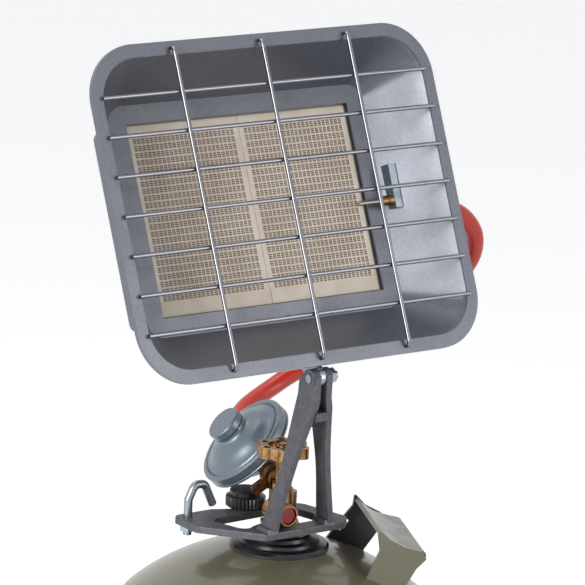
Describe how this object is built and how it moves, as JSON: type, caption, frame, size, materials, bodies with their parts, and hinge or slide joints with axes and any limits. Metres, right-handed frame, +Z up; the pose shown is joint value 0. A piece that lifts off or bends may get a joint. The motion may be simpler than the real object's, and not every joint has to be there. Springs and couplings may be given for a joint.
{
  "type": "propane heater",
  "caption": "Tilting radiant gas heater on a cast stand that clamps over the valve of a small gas cylinder, with regulator and hose.",
  "frame": {"origin": "on the cylinder's axis, on the floor under the foot ring", "axes": "+Z up, -Y the way the heater faces, +X to the right seen from the front"},
  "size_m": [0.3642, 0.2496, 0.745],
  "materials": {
    "housing_steel": "hammered grey",
    "ceramic": "matt porous ceramic",
    "gasket": "matt fibre",
    "guard_wire": "bright plated",
    "cast_alloy": "as cast",
    "zinc": "zinc plated",
    "brass": "worn brass",
    "red_plastic": "gloss",
    "black_plastic": "satin",
    "regulator_alloy": "satin lacquer",
    "diaphragm_rubber": "matt",
    "hose_rubber": "satin orange-red",
    "cylinder_paint": "gloss olive grey",
    "black_paint": "satin",
    "probe_steel": "heat stained"
  },
  "bodies": {
    "root": {"stand_casting": "cast_alloy", "hook_nut": "zinc", "tilt_bolt": "zinc", "tilt_nut": "zinc", "valve_body": "brass", "valve_bonnet": "brass", "relief_valve_rim": "brass", "union_nut": "brass", "relief_valve_cap": "red_plastic", "outlet_cap": "black_plastic", "neck_ring": "black_plastic", "regulator_lower_body": "regulator_alloy", "regulator_bonnet": "regulator_alloy", "regulator_cap": "regulator_alloy", "regulator_diaphragm": "diaphragm_rubber", "gas_hose": "hose_rubber", "cylinder_shell": "cylinder_paint", "cylinder_foot_ring": "cylinder_paint", "handle_bridge": "cylinder_paint", "handle_front_strap": "cylinder_paint", "handle_rear_strap": "black_paint"},
    "head": {"reflector_housing": "housing_steel", "burner_box": "housing_steel", "mixing_tube": "housing_steel", "ceramic_plaque_left": "ceramic", "ceramic_plaque_right": "ceramic", "plaque_gasket": "gasket", "wire_guard": "guard_wire", "hinge_tongue": "zinc", "probe_bracket": "zinc", "probe_nut": "brass", "thermocouple_probe": "probe_steel", "gas_injector": "brass", "hose_nut": "brass", "safety_valve_body": "brass"},
    "handwheel_body": {"handwheel": "brass", "valve_spindle": "brass"},
    "button_body": {"safety_button": "black_plastic"},
    "hook_body": {"hook_bolt": "zinc"}
  },
  "joints": [
    {"name": "head_tilt", "type": "hinge", "parent": "root", "child": "head", "pos_m": [0, -0.036, 0.5235], "axis": [1, 0, 0], "range_deg": [-25, 25], "deforming": ["gas_hose"]},
    {"name": "handwheel_turn", "type": "hinge", "parent": "root", "child": "handwheel_body", "pos_m": [0, 0, 0.46], "axis": [0, 0, 1], "range_deg": [0, 540]},
    {"name": "safety_button_press", "type": "slide", "parent": "head", "child": "button_body", "axis": [0, -0.9171, 0.3987], "range_m": [0, 0.005], "stiffness_N_per_m": 300},
    {"name": "hook_swing", "type": "hinge", "parent": "root", "child": "hook_body", "pos_m": [-0.054, 0.034, 0.414], "axis": [0, 0, 1], "range_deg": [0, 180]}
  ]
}
